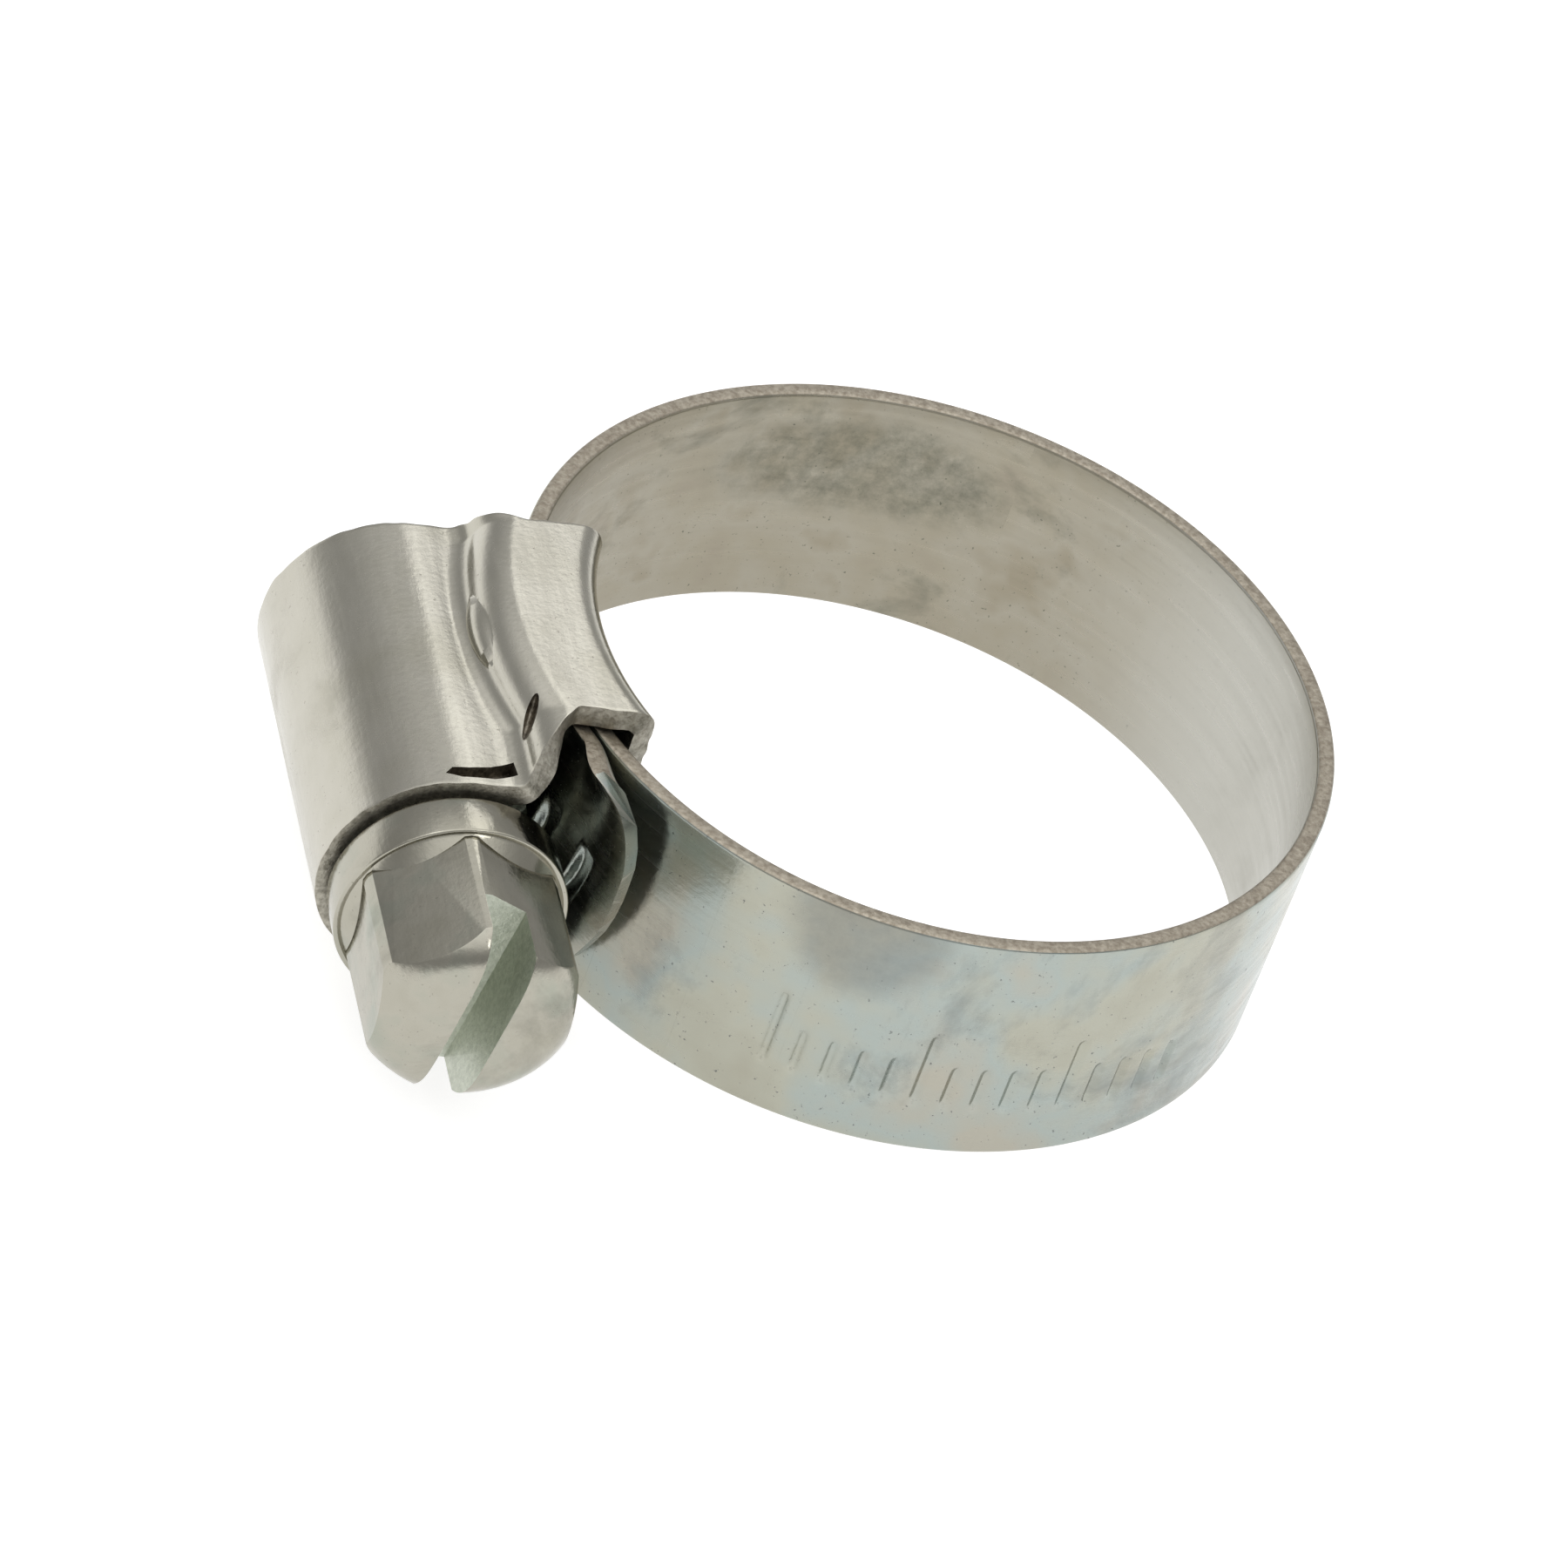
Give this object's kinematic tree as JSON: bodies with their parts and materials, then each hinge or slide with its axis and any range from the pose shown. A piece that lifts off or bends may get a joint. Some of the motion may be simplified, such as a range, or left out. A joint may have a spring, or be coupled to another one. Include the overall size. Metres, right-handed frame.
{
  "type": "hose clamp",
  "caption": "Worm-drive hose clamp: a slotted hex-head worm screw in a pressed housing draws a threaded steel band into a smaller loop.",
  "frame": {"origin": "middle of the bounding box in plan, at the lowest face of the housing's side wall, with the clamp lying on its side", "axes": "+Z along the axis of the loop, +X from the housing across the loop, -Y the way the screw head points"},
  "size_m": [0.0348, 0.0286, 0.0109],
  "materials": {
    "housing_zinc": "bright zinc plate",
    "band_zinc": "satin zinc plate",
    "screw_zinc": "bright zinc plate"
  },
  "bodies": {
    "housing_and_fixed_end": {"housing": "housing_zinc", "band_fixed_end": "band_zinc"},
    "screw": {"worm_screw": "screw_zinc"},
    "tail": {"band_tail": "band_zinc"},
    "near_link_01": {"band_near_01": "band_zinc"},
    "near_link_02": {"band_near_02": "band_zinc"},
    "near_link_03": {"band_near_03": "band_zinc"},
    "near_link_04": {"band_near_04": "band_zinc"},
    "near_link_05": {"band_near_05": "band_zinc"},
    "near_link_06": {"band_near_06": "band_zinc"},
    "near_link_07": {"band_near_07": "band_zinc"},
    "near_link_08": {"band_near_08": "band_zinc"},
    "near_link_09": {"band_near_09": "band_zinc"},
    "near_link_10": {"band_near_10": "band_zinc"},
    "far_link_01": {"band_far_01": "band_zinc"},
    "far_link_02": {"band_far_02": "band_zinc"},
    "far_link_03": {"band_far_03": "band_zinc"},
    "far_link_04": {"band_far_04": "band_zinc"}
  },
  "joints": [
    {"name": "screw_turn", "type": "hinge", "parent": "housing_and_fixed_end", "child": "screw", "pos_m": [-0.01329, 0.00032, 0.00545], "axis": [0, 1, 0], "range_deg": [0, 3519]},
    {"name": "tail_feed", "type": "hinge", "parent": "housing_and_fixed_end", "child": "tail", "pos_m": [0.00351, 0.00032, 0.00545], "axis": [0, 0, 1], "range_deg": [0, 97.23]},
    {"name": "near_flex_01", "type": "hinge", "parent": "housing_and_fixed_end", "child": "near_link_01", "pos_m": [-0.00807, -0.00558, 0.00545], "axis": [0, 0, 1], "range_deg": [0, 8.94]},
    {"name": "near_flex_02", "type": "hinge", "parent": "near_link_01", "child": "near_link_02", "pos_m": [-0.00611, -0.00843, 0.00545], "axis": [0, 0, 1], "range_deg": [0, 8.94]},
    {"name": "near_flex_03", "type": "hinge", "parent": "near_link_02", "child": "near_link_03", "pos_m": [-0.00348, -0.01069, 0.00545], "axis": [0, 0, 1], "range_deg": [0, 8.94]},
    {"name": "near_flex_04", "type": "hinge", "parent": "near_link_03", "child": "near_link_04", "pos_m": [-0.00034, -0.01218, 0.00545], "axis": [0, 0, 1], "range_deg": [0, 5.33]},
    {"name": "near_flex_05", "type": "hinge", "parent": "near_link_04", "child": "near_link_05", "pos_m": [0.0031, -0.01281, 0.00545], "axis": [0, 0, 1], "range_deg": [0, 5.33]},
    {"name": "near_flex_06", "type": "hinge", "parent": "near_link_05", "child": "near_link_06", "pos_m": [0.0066, -0.01252, 0.00545], "axis": [0, 0, 1], "range_deg": [0, 5.33]},
    {"name": "near_flex_07", "type": "hinge", "parent": "near_link_06", "child": "near_link_07", "pos_m": [0.00991, -0.01132, 0.00545], "axis": [0, 0, 1], "range_deg": [0, 5.33]},
    {"name": "near_flex_08", "type": "hinge", "parent": "near_link_07", "child": "near_link_08", "pos_m": [0.01281, -0.00927, 0.00545], "axis": [0, 0, 1], "range_deg": [0, 5.33]},
    {"name": "near_flex_09", "type": "hinge", "parent": "near_link_08", "child": "near_link_09", "pos_m": [0.01508, -0.00652, 0.00545], "axis": [0, 0, 1], "range_deg": [0, 5.33]},
    {"name": "near_flex_10", "type": "hinge", "parent": "near_link_09", "child": "near_link_10", "pos_m": [0.01654, -0.00324, 0.00545], "axis": [0, 0, 1], "range_deg": [0, 5.33]},
    {"name": "far_flex_01", "type": "hinge", "parent": "tail", "child": "far_link_01", "pos_m": [0.01117, 0.01168, 0.00545], "axis": [0, 0, 1], "range_deg": [-8.28, 0]},
    {"name": "far_flex_02", "type": "hinge", "parent": "far_link_01", "child": "far_link_02", "pos_m": [0.01369, 0.00949, 0.00545], "axis": [0, 0, 1], "range_deg": [-8.28, 0]},
    {"name": "far_flex_03", "type": "hinge", "parent": "far_link_02", "child": "far_link_03", "pos_m": [0.01558, 0.00674, 0.00545], "axis": [0, 0, 1], "range_deg": [-8.28, 0]},
    {"name": "far_flex_04", "type": "hinge", "parent": "far_link_03", "child": "far_link_04", "pos_m": [0.01673, 0.00362, 0.00545], "axis": [0, 0, 1], "range_deg": [-8.28, 0]}
  ],
  "couplings": [
    {"joint": "tail_feed", "follows": "screw_turn", "ratio": 0.027629},
    {"joint": "near_flex_01", "follows": "screw_turn", "ratio": 0.0025403},
    {"joint": "near_flex_02", "follows": "screw_turn", "ratio": 0.0025403},
    {"joint": "near_flex_03", "follows": "screw_turn", "ratio": 0.0025403},
    {"joint": "near_flex_04", "follows": "screw_turn", "ratio": 0.0015133},
    {"joint": "near_flex_05", "follows": "screw_turn", "ratio": 0.0015133},
    {"joint": "near_flex_06", "follows": "screw_turn", "ratio": 0.0015133},
    {"joint": "near_flex_07", "follows": "screw_turn", "ratio": 0.0015133},
    {"joint": "near_flex_08", "follows": "screw_turn", "ratio": 0.0015133},
    {"joint": "near_flex_09", "follows": "screw_turn", "ratio": 0.0015133},
    {"joint": "near_flex_10", "follows": "screw_turn", "ratio": 0.0015133},
    {"joint": "far_flex_01", "follows": "screw_turn", "ratio": -0.0023537},
    {"joint": "far_flex_02", "follows": "screw_turn", "ratio": -0.0023537},
    {"joint": "far_flex_03", "follows": "screw_turn", "ratio": -0.0023537},
    {"joint": "far_flex_04", "follows": "screw_turn", "ratio": -0.0023537}
  ]
}
